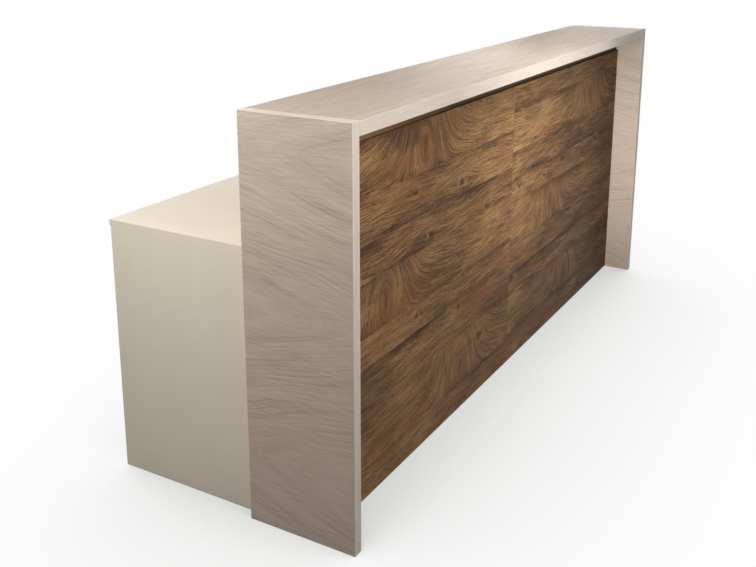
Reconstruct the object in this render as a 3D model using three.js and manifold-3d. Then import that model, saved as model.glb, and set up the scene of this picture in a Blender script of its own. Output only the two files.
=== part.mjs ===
// A straight reception desk: an oak counter frame, a walnut fascia and a cream desk behind it.
// Millimetres, +Z up. X runs along the desk, the visitor's side faces -Y, and the origin is on
// the floor under the middle of the desk.
import * as THREE from 'three';
import { mergeVertices } from 'three/addons/utils/BufferGeometryUtils.js';
import Module from 'manifold-3d';

const wasm = await Module();
wasm.setup();

// Overall size, and the heights of the worktop and of the counter's top above it
const LENGTH = 2400;
const DEPTH = 795;
const WORKTOP_TOP = 740;
const COUNTER_RISE = 350;

// Counter frame: two end panels with the shelf held between them, flush on top
const END_T = 30;
const END_DEPTH = 320;
const SHELF_T = 36;

// Front: two fascia boards on a full-height spine board, with a dark rail in the gap above them
const FASCIA_RECESS = 105;
const FASCIA_T = 18;
const FASCIA_DROP = 58;
const FASCIA_SIDE_GAP = 2.5;
const FASCIA_SEAM = 1;
const FASCIA_FLOOR_GAP = 3;
const RAIL_T = 10;
const SPINE_T = 25;

// Staff desk
const WORKTOP_T = 18;
const WORKTOP_OVERHANG = 4;
const PANEL_T = 18;
const CENTRE_DEPTH = 400;

// Levelling feet: a screw foot drawn up into a pocket in the board's lower edge, in a threaded insert
const FOOT_T = 4;
const FOOT_LIFT = 0.5;
const FOOT_INSET = 45;
const POCKET_COVER = 2.2;
const POCKET_CLEARANCE = 0.6;
const STEM_END_GAP = 2;
const STEM_CLEARANCE = 0.3;
const INSERT_COVER = 4.2;
const INSERT_WALL = 1.5;
const INSERT_LENGTH = 22;

// Bolts that hold the desk's side panels to the end panels
const BOLT_R = 3;
const BOLT_HEAD_R = 7;
const BOLT_HEAD_T = 2.5;
const BOLT_COVER = 10;
const BOLT_EDGE = 90;
const BOLTS_PER_SIDE = 3;

// Dowels between the shelf and the end panels
const DOWEL_R = 4;
const DOWEL_IN_SHELF = 22;
const DOWEL_COVER = 12;
const DOWEL_EDGE = 60;

// Angle brackets on the staff side of the spine
const BRACKET_LEG = 50;
const BRACKET_W = 40;
const BRACKET_T = 3;
const BRACKET_INSET = 200;

// Cable grommets in the worktop and cable trays on the spine
const GROMMET_R = 40;
const GROMMET_SETBACK = 90;
const RING_FLANGE = 4;
const RING_RISE = 3;
const RING_WALL = 3.7;
const RING_BELOW = 6;
const CAP_LEDGE = 2;
const CAP_T = 3.5;
const CAP_NOTCH_W = 24;
const CAP_NOTCH_DEPTH = 18;
const TRAY_END_GAP = 120;
const TRAY_W = 110;
const TRAY_BACK = 110;
const TRAY_LIP = 50;
const TRAY_T = 1.5;
const TRAY_BRACKET_GAP = 20;

// Running and fitting clearance between a round piece and its hole
const FIT = 0.3;
const ROUND_SIDES = 16;
const GROMMET_SIDES = 48;

// Planes that the pieces share
const height = WORKTOP_TOP + COUNTER_RISE;
const endOuter = LENGTH / 2;
const endInner = endOuter - END_T;
const front = -DEPTH / 2;
const back = DEPTH / 2;
const endBack = front + END_DEPTH;
const fasciaFront = front + FASCIA_RECESS;
const spineFront = fasciaFront + FASCIA_T;
const spineBack = spineFront + SPINE_T;
const sideInner = endInner - PANEL_T;
const sideBack = back - WORKTOP_OVERHANG;
const centreBack = spineBack + CENTRE_DEPTH;
const shelfBottom = height - SHELF_T;
const fasciaTop = shelfBottom - FASCIA_DROP;
const worktopBottom = WORKTOP_TOP - WORKTOP_T;
const bayMiddle = (PANEL_T / 2 + sideInner) / 2;
const pocketR = PANEL_T / 2 - POCKET_COVER;
const pocketTop = FOOT_LIFT + FOOT_T;
const footR = pocketR - POCKET_CLEARANCE;
const insertR = PANEL_T / 2 - INSERT_COVER;
const insertTop = pocketTop + INSERT_LENGTH;
const insertBoreR = insertR - INSERT_WALL;
const stemR = insertBoreR - STEM_CLEARANCE;
const boltEnd = endOuter - BOLT_COVER;
const boltY = (spineBack + endBack) / 2;
const dowelEnd = endOuter - DOWEL_COVER;
const grommetY = spineBack + GROMMET_SETBACK;

// Finishes
const finish = (color, roughness, metalness = 0) =>
  new THREE.MeshStandardMaterial({ color, roughness, metalness });
const paleOak = finish(0xd0c2b0, 0.5);
const walnut = finish(0x76583c, 0.5);
const darkBrown = finish(0x33241a, 0.6);
const cream = finish(0xe4dcc8, 0.45);
const beech = finish(0xc9a778, 0.7);
const zincSteel = finish(0xb9bcc0, 0.35, 1);
const greySteel = finish(0x9c9fa2, 0.5, 0.6);
const creamPlastic = finish(0xd9d2c0, 0.5);

const LEFT = { name: 'left', sign: -1 };
const RIGHT = { name: 'right', sign: 1 };
const SIDES = [LEFT, RIGHT];

// A closed mesh as a solid that can be cut
function solidOf(geometry) {
  const bare = geometry.clone();
  bare.deleteAttribute('normal');
  bare.deleteAttribute('uv');
  const merged = mergeVertices(bare);
  const vertProperties = new Float32Array(merged.attributes.position.array);
  const triVerts = new Uint32Array(merged.index.array);
  return new wasm.Manifold(new wasm.Mesh({ numProp: 3, vertProperties, triVerts }));
}

function geometryOf(solid) {
  const { vertProperties, triVerts } = solid.getMesh();
  const geometry = new THREE.BufferGeometry();
  geometry.setAttribute('position', new THREE.BufferAttribute(vertProperties, 3));
  geometry.setIndex(new THREE.BufferAttribute(triVerts, 1));
  geometry.computeVertexNormals();
  return geometry;
}

function cut(geometry, cutters) {
  let solid = solidOf(geometry);
  for (const cutter of cutters) {
    solid = solid.subtract(solidOf(cutter));
  }
  return geometryOf(solid);
}

function addMesh(group, name, geometry, material) {
  const mesh = new THREE.Mesh(geometry, material);
  mesh.name = name;
  group.add(mesh);
  return mesh;
}

// A board between two corners, with the holes that its fittings need
function addBoard(group, name, material, low, high, cutters = []) {
  const lowest = new THREE.Vector3(...low);
  const size = new THREE.Vector3(...high).sub(lowest);
  const middle = lowest.clone().addScaledVector(size, 0.5);
  const box = new THREE.BoxGeometry(size.x, size.y, size.z);
  const moved = cutters.map((cutter) => cutter.clone().translate(-middle.x, -middle.y, -middle.z));
  const geometry = moved.length > 0 ? cut(box, moved) : box;
  addMesh(group, name, geometry, material).position.copy(middle);
}

// The two x bounds of a span from the middle outwards, lowest first, on one side of the desk
function span(side, inner, outer) {
  return side.sign > 0 ? [inner, outer] : [-outer, -inner];
}

// A round piece on the Z axis from its half section, given as [radius, height] points
function turned(points, sides) {
  const profile = points.map(([r, z]) => new THREE.Vector2(r, z));
  return new THREE.LatheGeometry(profile, sides).rotateX(Math.PI / 2);
}

function rod(radius, low, high, sides = ROUND_SIDES) {
  return turned([[0, low], [radius, low], [radius, high], [0, high]], sides);
}

// A rod along X, on one side of the desk, from the distance inner to outer from the middle
function crossRod(side, radius, inner, outer, y, z) {
  const along = rod(radius, inner, outer).rotateY(side.sign * Math.PI / 2);
  return along.translate(0, y, z);
}

// A section of [y, z] points drawn out along X, centred on x = 0
function drawnAlongX(points, width) {
  const outline = new THREE.Shape(points.map(([y, z]) => new THREE.Vector2(y, z)));
  const geometry = new THREE.ExtrudeGeometry(outline, { depth: width, bevelEnabled: false });
  const yAxis = new THREE.Vector3(0, 1, 0);
  const zAxis = new THREE.Vector3(0, 0, 1);
  const xAxis = new THREE.Vector3(1, 0, 0);
  const turnedToX = new THREE.Matrix4().makeBasis(yAxis, zAxis, xAxis);
  return geometry.applyMatrix4(turnedToX).translate(-width / 2, 0, 0);
}

// Where the feet stand under each board
function footPlaces() {
  const places = [];
  for (const side of SIDES) {
    const endX = side.sign * (endInner + END_T / 2);
    const sideX = side.sign * (sideInner + PANEL_T / 2);
    places.push({ board: `${side.name}_end`, spot: 'front', x: endX, y: front + FOOT_INSET });
    places.push({ board: `${side.name}_end`, spot: 'back', x: endX, y: endBack - FOOT_INSET });
    places.push({ board: `${side.name}_side`, spot: 'front', x: sideX, y: spineBack + FOOT_INSET });
    places.push({ board: `${side.name}_side`, spot: 'back', x: sideX, y: sideBack - FOOT_INSET });
    places.push({
      board: 'spine',
      spot: side.name,
      x: side.sign * bayMiddle,
      y: (spineFront + spineBack) / 2,
    });
  }
  places.push({ board: 'centre', spot: 'back', x: 0, y: centreBack - FOOT_INSET });
  return places;
}

const feet = footPlaces();

// The stepped hole for each foot under one board: the pocket for its disc, then the insert's seat
function footHoles(board) {
  const hole = turned(
    [[0, -FIT], [pocketR, -FIT], [pocketR, pocketTop], [insertR + FIT, pocketTop],
      [insertR + FIT, insertTop], [0, insertTop]],
    ROUND_SIDES,
  );
  return feet.filter((foot) => foot.board === board).map(({ x, y }) => hole.clone().translate(x, y, 0));
}

// Heights of the bolts that join a side panel to its end panel
function boltHeights() {
  const step = (worktopBottom - 2 * BOLT_EDGE) / (BOLTS_PER_SIDE - 1);
  return Array.from({ length: BOLTS_PER_SIDE }, (_, index) => BOLT_EDGE + index * step);
}

function boltHoles(side) {
  return boltHeights().map((z) => crossRod(side, BOLT_R + FIT, sideInner - FIT, boltEnd, boltY, z));
}

const dowelPlaces = [
  { spot: 'front', y: front + DOWEL_EDGE },
  { spot: 'back', y: endBack - DOWEL_EDGE },
];
const dowelZ = (shelfBottom + height) / 2;

function dowelHoles(side) {
  return dowelPlaces.map(({ y }) =>
    crossRod(side, DOWEL_R + FIT, endInner - DOWEL_IN_SHELF, dowelEnd, y, dowelZ));
}

function counterFrame() {
  const group = new THREE.Group();
  for (const side of SIDES) {
    const [x0, x1] = span(side, endInner, endOuter);
    const holes = [...footHoles(`${side.name}_end`), ...boltHoles(side), ...dowelHoles(side)];
    const low = [x0, front, 0];
    addBoard(group, `${side.name}_end_panel`, paleOak, low, [x1, endBack, height], holes);
  }
  const low = [-endInner, front, shelfBottom];
  const high = [endInner, endBack, height];
  addBoard(group, 'counter_shelf', paleOak, low, high, SIDES.flatMap(dowelHoles));
  return group;
}

function frontWall() {
  const group = new THREE.Group();
  for (const side of SIDES) {
    const [x0, x1] = span(side, FASCIA_SEAM / 2, endInner - FASCIA_SIDE_GAP);
    const low = [x0, fasciaFront, FASCIA_FLOOR_GAP];
    addBoard(group, `fascia_${side.name}`, walnut, low, [x1, spineFront, fasciaTop]);
  }
  const railLow = [-endInner, spineFront - RAIL_T, fasciaTop];
  addBoard(group, 'shadow_rail', darkBrown, railLow, [endInner, spineFront, shelfBottom]);
  const spineLow = [-endInner, spineFront, 0];
  const spineHigh = [endInner, spineBack, shelfBottom];
  addBoard(group, 'spine_panel', cream, spineLow, spineHigh, footHoles('spine'));
  return group;
}

function staffDesk() {
  const group = new THREE.Group();
  const hole = rod(GROMMET_R, worktopBottom - FIT, WORKTOP_TOP + FIT, GROMMET_SIDES);
  const holes = SIDES.map((side) => hole.clone().translate(side.sign * bayMiddle, grommetY, 0));
  const topLow = [-endInner, spineBack, worktopBottom];
  addBoard(group, 'worktop', cream, topLow, [endInner, back, WORKTOP_TOP], holes);
  for (const side of SIDES) {
    const [x0, x1] = span(side, sideInner, endInner);
    const cutters = [...footHoles(`${side.name}_side`), ...boltHoles(side)];
    const low = [x0, spineBack, 0];
    addBoard(group, `${side.name}_side_panel`, cream, low, [x1, sideBack, worktopBottom], cutters);
  }
  const centreLow = [-PANEL_T / 2, spineBack, 0];
  const centreHigh = [PANEL_T / 2, centreBack, worktopBottom];
  addBoard(group, 'centre_panel', cream, centreLow, centreHigh, footHoles('centre'));
  return group;
}

function levellingFeet() {
  const group = new THREE.Group();
  const insert = turned(
    [[insertBoreR, pocketTop], [insertR, pocketTop], [insertR, insertTop], [insertBoreR, insertTop],
      [insertBoreR, pocketTop]],
    ROUND_SIDES,
  );
  const stemTop = insertTop - STEM_END_GAP;
  const foot = turned(
    [[0, FOOT_LIFT], [footR, FOOT_LIFT], [footR, pocketTop], [stemR, pocketTop], [stemR, stemTop],
      [0, stemTop]],
    ROUND_SIDES,
  );
  for (const { board, spot, x, y } of feet) {
    addMesh(group, `foot_insert_${board}_${spot}`, insert, zincSteel).position.set(x, y, 0);
    addMesh(group, `foot_${board}_${spot}`, foot, zincSteel).position.set(x, y, 0);
  }
  return group;
}

function joiningPieces() {
  const group = new THREE.Group();
  const headFace = sideInner - BOLT_HEAD_T;
  for (const side of SIDES) {
    const bolt = turned(
      [[0, headFace], [BOLT_HEAD_R, headFace], [BOLT_HEAD_R, sideInner], [BOLT_R, sideInner],
        [BOLT_R, boltEnd], [0, boltEnd]],
      ROUND_SIDES,
    ).rotateY(side.sign * Math.PI / 2);
    boltHeights().forEach((z, index) => {
      addMesh(group, `side_bolt_${side.name}_${index + 1}`, bolt, zincSteel).position.set(0, boltY, z);
    });
    for (const { spot, y } of dowelPlaces) {
      const dowel = crossRod(side, DOWEL_R, endInner - DOWEL_IN_SHELF, dowelEnd, 0, 0);
      addMesh(group, `shelf_dowel_${side.name}_${spot}`, dowel, beech).position.set(0, y, dowelZ);
    }
  }
  return group;
}

// Angle brackets under the shelf and under the worktop, screwed to the spine's back
function angleBrackets() {
  const group = new THREE.Group();
  const angle = drawnAlongX(
    [[0, 0], [0, -BRACKET_LEG], [BRACKET_T, -BRACKET_LEG], [BRACKET_T, -BRACKET_T],
      [BRACKET_LEG, -BRACKET_T], [BRACKET_LEG, 0]],
    BRACKET_W,
  );
  for (const side of SIDES) {
    const spots = { inner: bayMiddle - BRACKET_INSET, outer: bayMiddle + BRACKET_INSET };
    for (const [spot, x] of Object.entries(spots)) {
      const place = `${side.name}_${spot}`;
      const shelf = addMesh(group, `shelf_bracket_${place}`, angle, zincSteel);
      shelf.position.set(side.sign * x, spineBack, shelfBottom);
      const worktop = addMesh(group, `worktop_bracket_${place}`, angle, zincSteel);
      worktop.position.set(side.sign * x, spineBack, worktopBottom);
    }
  }
  return group;
}

// A flanged ring that lines the cable hole, and the notched cap that turns on its ledge
function cableGrommet(side) {
  const group = new THREE.Group();
  const linerR = GROMMET_R - FIT;
  const boreR = linerR - RING_WALL;
  const seatR = boreR + CAP_LEDGE;
  const flangeR = GROMMET_R + RING_FLANGE;
  const ringBottom = -WORKTOP_T - RING_BELOW;
  const ledge = RING_RISE - CAP_T;
  const ring = turned(
    [[boreR, ringBottom], [linerR, ringBottom], [linerR, 0], [flangeR, 0], [flangeR, RING_RISE],
      [seatR, RING_RISE], [seatR, ledge], [boreR, ledge], [boreR, ringBottom]],
    GROMMET_SIDES,
  );
  const capR = seatR - FIT;
  const notch = new THREE.BoxGeometry(CAP_NOTCH_W, CAP_NOTCH_DEPTH * 2, CAP_T * 3);
  const cap = cut(rod(capR, ledge, RING_RISE, GROMMET_SIDES), [notch.translate(0, -capR, 0)]);
  addMesh(group, `grommet_ring_${side.name}`, ring, creamPlastic);
  addMesh(group, `grommet_cap_${side.name}`, cap, creamPlastic);
  group.position.set(side.sign * bayMiddle, grommetY, WORKTOP_TOP);
  return group;
}

function cableTrays() {
  const group = new THREE.Group();
  const tray = drawnAlongX(
    [[0, TRAY_BACK], [0, 0], [TRAY_W, 0], [TRAY_W, TRAY_LIP], [TRAY_W - TRAY_T, TRAY_LIP],
      [TRAY_W - TRAY_T, TRAY_T], [TRAY_T, TRAY_T], [TRAY_T, TRAY_BACK]],
    sideInner - PANEL_T / 2 - 2 * TRAY_END_GAP,
  );
  const trayBottom = worktopBottom - BRACKET_LEG - TRAY_BRACKET_GAP - TRAY_BACK;
  for (const side of SIDES) {
    const mesh = addMesh(group, `cable_tray_${side.name}`, tray, greySteel);
    mesh.position.set(side.sign * bayMiddle, spineBack, trayBottom);
  }
  return group;
}

const receptionDesk = new THREE.Group();
receptionDesk.add(counterFrame(), frontWall(), staffDesk());
receptionDesk.add(levellingFeet(), joiningPieces(), angleBrackets());
receptionDesk.add(...SIDES.map(cableGrommet), cableTrays());

export default receptionDesk;
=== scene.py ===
"""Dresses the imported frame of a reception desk: oak counter frame, walnut front and cream work desk.

Metres, +Z up. X runs along the desk and the visitor's side faces -Y. Each operator makes one piece
or a group of like pieces around the frame's nodes, and main() calls them in order.
"""

import math

import bmesh
import bpy
from bpy.props import FloatProperty, FloatVectorProperty, PointerProperty
from mathutils import Matrix, Vector


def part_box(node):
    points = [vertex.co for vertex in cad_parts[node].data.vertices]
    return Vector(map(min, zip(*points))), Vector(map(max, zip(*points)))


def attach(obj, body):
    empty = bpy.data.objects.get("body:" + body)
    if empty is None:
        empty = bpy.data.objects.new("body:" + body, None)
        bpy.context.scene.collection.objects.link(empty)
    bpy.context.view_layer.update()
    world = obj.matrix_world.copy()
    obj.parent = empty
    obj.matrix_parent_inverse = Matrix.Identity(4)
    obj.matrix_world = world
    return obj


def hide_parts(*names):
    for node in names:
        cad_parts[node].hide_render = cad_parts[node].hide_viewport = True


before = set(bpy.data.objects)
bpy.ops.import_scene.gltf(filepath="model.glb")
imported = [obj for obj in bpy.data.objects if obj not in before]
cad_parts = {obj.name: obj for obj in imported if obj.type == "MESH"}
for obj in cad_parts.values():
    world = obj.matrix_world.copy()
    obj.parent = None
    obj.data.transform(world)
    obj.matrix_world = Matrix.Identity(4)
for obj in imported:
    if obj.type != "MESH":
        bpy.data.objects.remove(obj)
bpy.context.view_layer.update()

bl_info = {
    "name": "Reception desk",
    "version": (1, 0, 0),
    "blender": (4, 5, 0),
    "location": "3D View > Sidebar > Desk",
    "description": "Dresses a reception desk's frame with its boards, fittings and studio stage",
    "category": "Object",
}

ROOT = "desk"
SIDES = ("left", "right")

# Roundness of the meshes, and the angle in degrees above which an edge stays sharp
EDGE_SEGMENTS = 2
BEND_STEPS = 4
RIB_STEPS = 16
ROUND_STEPS = 48
GROMMET_STEPS = 96
SHARP_ANGLE = 35

# Points closer than this are one point, and lengths closer than this are equal
MERGE_DISTANCE = 1e-7
TOLERANCE = 1e-6

# How squarely a board's face looks along an axis, where an edge's rounding looks less so
SQUARE_ON = 0.999

# Sizes of the frame's fittings that their boxes don't show
FIT = 0.0003
FOOT_DISC = 0.004
STEM_RADIUS = 0.003
KNURL_SHARE = 0.02
POCKET_CLEARANCE = 0.0006
BOLT_HEAD = 0.0025
BOLT_RADIUS = 0.003
SOCKET_ACROSS = 0.004
SOCKET_DEPTH = 0.0014
BRACKET_SHEET = 0.003
TRAY_SHEET = 0.0015
TRAY_LIP = 0.050
TRAY_SCREW_GAPS = 4
RING_FLANGE = 0.004
RING_WALL = 0.0037
CAP_LEDGE = 0.002
CAP_THICKNESS = 0.0035
NOTCH_WIDTH = 0.024
NOTCH_DEPTH = 0.018


def linear(red, green, blue):
    """A colour given as screen values from 0 to 255, as the linear values that a shader takes."""
    def one(value):
        share = value / 255
        return share / 12.92 if share <= 0.04045 else ((share + 0.055) / 1.055) ** 2.4
    return tuple(one(value) for value in (red, green, blue))


def colour(title, words, screen):
    return FloatVectorProperty(
        name=title, description=words, subtype="COLOR", size=3, min=0, max=1, default=linear(*screen)
    )


def number(title, words, value, **details):
    return FloatProperty(name=title, description=words, default=value, **details)


def length(title, words, metres):
    return number(title, words, metres, unit="LENGTH", min=0, precision=4)


def power(title, words, watts):
    return number(title, words, watts, unit="POWER", min=0)


def turning(title, words, degrees):
    return number(title, words, math.radians(degrees), subtype="ANGLE")


class DeskSizes(bpy.types.PropertyGroup):
    """Sizes that the frame leaves open."""

    edge_radius: length("Edge radius", "Rounding of the boards' edges", 0.0008)
    fitting_radius: length("Fitting radius", "Rounding of plastic and metal edges", 0.0006)
    bend_radius: length("Bend radius", "Inner radius of folded sheet metal", 0.002)
    corner_radius: length("Corner radius", "Rounding of the brackets' free corners", 0.006)
    rib_radius: length("Rib radius", "Radius of the rib pressed into a bracket's bend", 0.0035)
    screw_radius: length("Screw radius", "Radius of the wood screws' heads", 0.004)
    screw_rise: length("Screw rise", "Height of the wood screws' heads", 0.002)
    screw_inset: length("Screw inset", "Distance of the screws from the sheet's edge", 0.014)
    slot_length: length("Slot length", "Length of the slots in the cable trays", 0.034)
    slot_width: length("Slot width", "Width of the slots in the cable trays", 0.008)
    slot_pitch: length("Slot pitch", "Distance between slots in the cable trays", 0.060)
    thread_pitch: length("Thread pitch", "Pitch of the levelling feet's screw thread", 0.001)
    thread_depth: length("Thread depth", "Depth of the levelling feet's screw thread", 0.0005)
    notch_corner: length("Notch corner", "Rounding inside the grommet caps' notches", 0.006)


class DeskColours(bpy.types.PropertyGroup):
    """Colours of the desk's finishes."""

    oak_light: colour("Oak light", "Pale wood between the grain lines", (209, 191, 173))
    oak_dark: colour("Oak dark", "Grain lines of the pale wood", (162, 143, 125))
    oak_band: colour("Oak edge band", "Edges of the pale oak boards", (226, 212, 196))
    walnut_dark: colour("Walnut dark", "Streaks and pores of the front", (44, 28, 16))
    walnut_mid: colour("Walnut middle", "Main tone of the front", (116, 83, 53))
    walnut_light: colour("Walnut light", "Sapwood and highlights of the front", (180, 140, 92))
    walnut_red: colour("Walnut red", "Reddish heartwood of the front", (130, 83, 54))
    walnut_olive: colour("Walnut olive", "Greyish green patches of the front", (94, 76, 48))
    rail: colour("Rail", "Dark strip in the gap above the front", (74, 54, 37))
    # Painted light: the rail's left end turns paler, standing in for light that falls into the shadow gap at
    # the near end
    rail_end: colour("Rail end", "Paler wood at the strip's left end", (205, 160, 116))
    cream: colour("Cream", "Boards of the work desk", (235, 224, 203))
    cream_plastic: colour("Cream plastic", "Cable grommets", (218, 209, 190))
    zinc: colour("Zinc", "Plated brackets, bolts, feet and screws", (196, 199, 204))
    tray: colour("Tray", "Powder coat of the cable trays", (150, 152, 154))
    beech: colour("Beech", "Dowels", (201, 167, 120))


class StageSettings(bpy.types.PropertyGroup):
    """Camera, lamps and floor."""

    camera_place: FloatVectorProperty(
        name="Camera place", description="Where the camera stands", subtype="XYZ", unit="LENGTH",
        default=(-2.935, -1.472, 1.497),
    )
    camera_yaw: turning("Camera yaw", "Turn of the camera from +Y towards +X", 59.81)
    camera_pitch: turning("Camera pitch", "How far the camera looks down", 14.12)
    lens: number("Lens", "Focal length in millimetres on a 36 mm sensor", 45.3, min=10)
    shift: number("Lens shift", "Upward shift of the lens, in image widths", -0.15)
    world_light: number("World light", "Strength of the even light all round", 0.12, min=0)
    corner_light: power("Corner light", "Lamp before the near corner", 14.6)
    counter_light: power("Counter light", "Small lamp over the middle of the counter", 1.0)
    front_light: power("Front light", "Wide lamp before the middle of the counter", 2.2)
    edge_light: power("Edge light", "Narrow lamp level with the counter's front edge", 0.15)
    end_light: power("End light", "Lamp over the near end", 9.8)
    side_light: power("Side light", "Lamp beside the near end of the worktop", 5.2)
    top_light: power("Top light", "Lamp over the worktop", 13.0)
    back_light: power("Back light", "Lamp behind the staff's side", 17.5)
    right_light: power("Right light", "Lamp beside the far end", 9.0)
    recess_light: power("Recess light", "Lamp that reaches the far end panel's inner face", 2.5)
    sheen_light: power("Sheen light", "Lamp whose mirror image lies on the counter shelf", 4.2)
    far_light: power("Far light", "Lamp over the far end of the counter", 2.3)


# Node building


class Tree:
    """Adds nodes to one node tree and wires them as they are made."""

    def __init__(self, tree):
        self.tree = tree

    def plug(self, socket, value):
        if isinstance(value, bpy.types.NodeSocket):
            self.tree.links.new(value, socket)
        elif value is not None:
            socket.default_value = value

    def node(self, kind, inputs=None, **settings):
        made = self.tree.nodes.new(kind)
        for name, value in settings.items():
            setattr(made, name, value)
        for key, value in (inputs or {}).items():
            self.plug(made.inputs[key], value)
        return made

    def use(self, group, inputs):
        """Places a shader group and gives back its outputs."""
        return self.node("ShaderNodeGroup", inputs, node_tree=group).outputs

    def math(self, operation, first, second=0.0, third=0.0):
        inputs = {0: first, 1: second, 2: third}
        return self.node("ShaderNodeMath", inputs, operation=operation).outputs[0]

    def add(self, *values):
        total = values[0]
        for value in values[1:]:
            total = self.math("ADD", total, value)
        return total

    def minus(self, first, second):
        return self.math("SUBTRACT", first, second)

    def times(self, first, second):
        return self.math("MULTIPLY", first, second)

    def divide(self, first, second):
        return self.math("DIVIDE", first, second)

    def line(self, value, slope, start):
        return self.math("MULTIPLY_ADD", value, slope, start)

    def swayed(self, value, noise, amount):
        """The value, moved to and fro by noise that lies about 0.5."""
        return self.line(self.minus(noise, 0.5), amount, value)

    def most(self, *values):
        highest = values[0]
        for value in values[1:]:
            highest = self.math("MAXIMUM", highest, value)
        return highest

    def scaled(self, vector, factors):
        inputs = {0: vector, 1: factors}
        return self.node("ShaderNodeVectorMath", inputs, operation="MULTIPLY").outputs["Vector"]

    def reach(self, x, y):
        """Distance from the middle, for two offsets."""
        inputs = {0: self.combine(x, y, 0.0)}
        return self.node("ShaderNodeVectorMath", inputs, operation="LENGTH").outputs["Value"]

    def combine(self, x, y, z):
        return self.node("ShaderNodeCombineXYZ", {0: x, 1: y, 2: z}).outputs[0]

    def separate(self, vector):
        return self.node("ShaderNodeSeparateXYZ", {0: vector}).outputs

    def noise(self, vector, scale=1.0, detail=3.0, roughness=0.5):
        inputs = {"Vector": vector, "Scale": scale, "Detail": detail, "Roughness": roughness}
        return self.node("ShaderNodeTexNoise", inputs).outputs[0]

    def fade(self, value, start, end, low=0.0, high=1.0):
        """Goes smoothly from low to high as value goes from start to end."""
        inputs = {"Value": value, "From Min": start, "From Max": end, "To Min": low, "To Max": high}
        made = self.node("ShaderNodeMapRange", inputs, interpolation_type="SMOOTHSTEP")
        return made.outputs[0]

    def spread(self, value, low, high):
        """Noise from about 0.3 to 0.7, spread evenly from low to high."""
        inputs = {"Value": value, "From Min": 0.3, "From Max": 0.7, "To Min": low, "To Max": high}
        return self.node("ShaderNodeMapRange", inputs).outputs[0]

    def mix(self, factor, first, second):
        shades = [(*shade, 1.0) if isinstance(shade, tuple) else shade for shade in (first, second)]
        inputs = {0: factor, 6: shades[0], 7: shades[1]}
        return self.node("ShaderNodeMix", inputs, data_type="RGBA").outputs[2]

    def blend(self, factor, first, second):
        """Goes from the value first to second as factor goes from 0 to 1."""
        made = self.node("ShaderNodeMix", {0: factor, 2: first, 3: second}, data_type="FLOAT")
        return made.outputs[0]

    def cutter(self, mesh):
        """A node that takes whatever is wired to its second input out of the mesh."""
        settings = {"operation": "DIFFERENCE", "solver": "EXACT"}
        return self.node("GeometryNodeMeshBoolean", {"Mesh 1": mesh}, **settings)

    def ramp(self, factor, stops, interpolation="LINEAR"):
        """Colour stops, given as (place, colour) pairs."""
        made = self.node("ShaderNodeValToRGB", {0: factor})
        made.color_ramp.interpolation = interpolation
        points = made.color_ramp.elements
        while len(points) < len(stops):
            points.new(1.0)
        for point, (place, shade) in zip(points, stops):
            point.position = place
            point.color = (*shade, 1.0)
        return made.outputs[0]

    def graph(self, factor, stops, interpolation="LINEAR"):
        """A value that follows stops, given as (place, value) pairs."""
        greys = [(place, (value, value, value)) for place, value in stops]
        return self.times(self.ramp(factor, greys, interpolation), 1.0)


def new_group(kind, name, inputs, outputs):
    """An empty node group, as a Tree, and the sockets of its input and output nodes.

    An input is given by its default, a number or a vector, or by the name of another kind of socket.
    """
    tree = bpy.data.node_groups.new(name, kind)
    kinds = {float: "NodeSocketFloat", tuple: "NodeSocketVector"}
    for title, default in inputs.items():
        socket_kind = kinds.get(type(default), default)
        socket = tree.interface.new_socket(title, in_out="INPUT", socket_type=socket_kind)
        if socket_kind != default:
            socket.default_value = default
    for title, socket_kind in outputs.items():
        tree.interface.new_socket(title, in_out="OUTPUT", socket_type=socket_kind)
    wired = Tree(tree)
    return wired, wired.node("NodeGroupInput").outputs, wired.node("NodeGroupOutput").inputs


def shader_group(name, inputs, *outputs):
    return new_group("ShaderNodeTree", name, inputs, dict.fromkeys(outputs, "NodeSocketFloat"))


def geometry_group(name, inputs):
    shape = {"Geometry": "NodeSocketGeometry"}
    return new_group("GeometryNodeTree", name, {**shape, **inputs}, shape)


def built_once(build):
    """Keeps one material or node group for each name."""
    kept = {}

    def fetch(name, *details):
        if name not in kept:
            kept[name] = build(name, *details)
        return kept[name]
    return fetch


@built_once
def fibre_group(name):
    """Wood along the first axis: broad bands, narrow streaks and fine fibres, each of a given width.

    Length stretches all three along the grain.
    """
    sizes = {"Vector": (0.0, 0.0, 0.0), "Seed": 0.0, "Length": 1.0, "Band": 0.04, "Streak": 0.008,
             "Fibre": 0.0012}
    wired, given, result = shader_group(name, sizes, "Band", "Streak", "Fibre")
    along, across, depth = wired.separate(given["Vector"])
    moved = wired.times(given["Seed"], 37.0)
    stretch = {"Band": 9.0, "Streak": 24.0, "Fibre": 36.0}
    for title, ratio in stretch.items():
        rate = wired.divide(1.0, given[title])
        slow = wired.divide(rate, wired.times(given["Length"], ratio))
        place = wired.combine(
            wired.line(along, slow, moved), wired.line(across, rate, moved), wired.times(depth, rate)
        )
        wired.plug(result[title], wired.noise(place, detail=4.0, roughness=0.55))
    return wired.tree


@built_once
def unevenness_group(name):
    """The slight unevenness of sprayed, moulded and pressed surfaces, as height, gloss and tone."""
    sizes = {"Vector": (0.0, 0.0, 0.0), "Grain": 0.0015, "Patch": 0.25}
    wired, given, result = shader_group(name, sizes, "Height", "Gloss", "Tone")
    fine = wired.noise(given["Vector"], wired.divide(1.0, given["Grain"]), 2.0)
    patch = wired.noise(given["Vector"], wired.divide(1.0, given["Patch"]), 5.0, 0.6)
    wired.plug(result["Height"], fine)
    wired.plug(result["Gloss"], wired.blend(0.6, fine, patch))
    wired.plug(result["Tone"], patch)
    return wired.tree


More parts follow.
